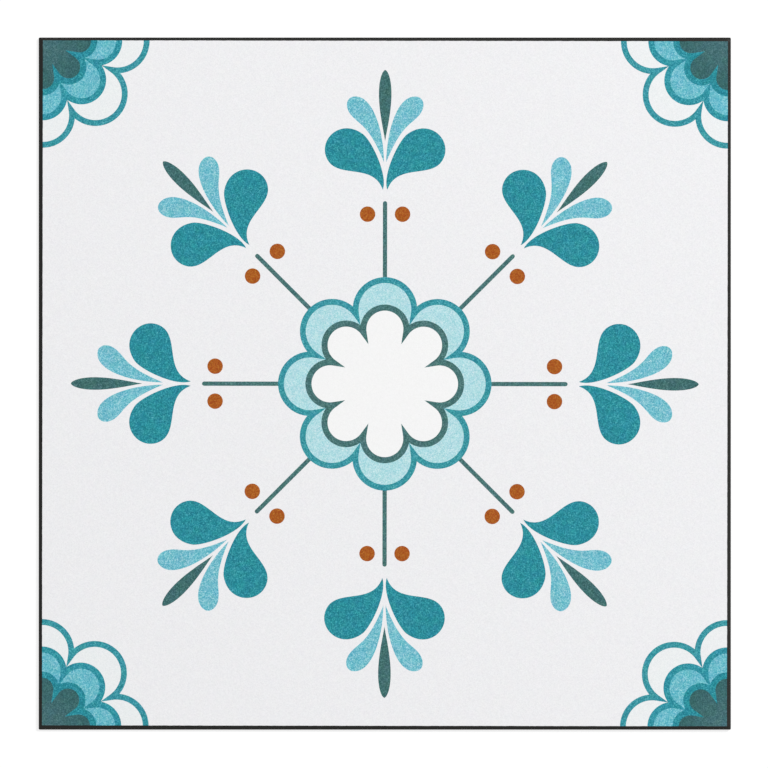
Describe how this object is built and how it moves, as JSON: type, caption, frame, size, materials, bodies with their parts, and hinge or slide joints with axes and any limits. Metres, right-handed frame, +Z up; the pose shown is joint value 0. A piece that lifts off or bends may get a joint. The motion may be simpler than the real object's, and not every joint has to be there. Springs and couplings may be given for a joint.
{
  "type": "vinyl floor tile",
  "caption": "Square printed vinyl floor tile: a thin flat slab with a bevelled edge of bare black vinyl round a patterned white face.",
  "frame": {"origin": "centre of the tile's back, on the bed that it is laid on", "axes": "+Z up out of the printed face; +X and +Y along the tile's sides, +Y towards the top of the picture"},
  "size_m": [0.3048, 0.3048, 0.0025],
  "materials": {
    "vinyl": "satin clear wear layer over a white printed face; the bevel, edges and back are bare black vinyl"
  },
  "bodies": {
    "root": {"vinyl_tile": "vinyl"}
  },
  "joints": []
}
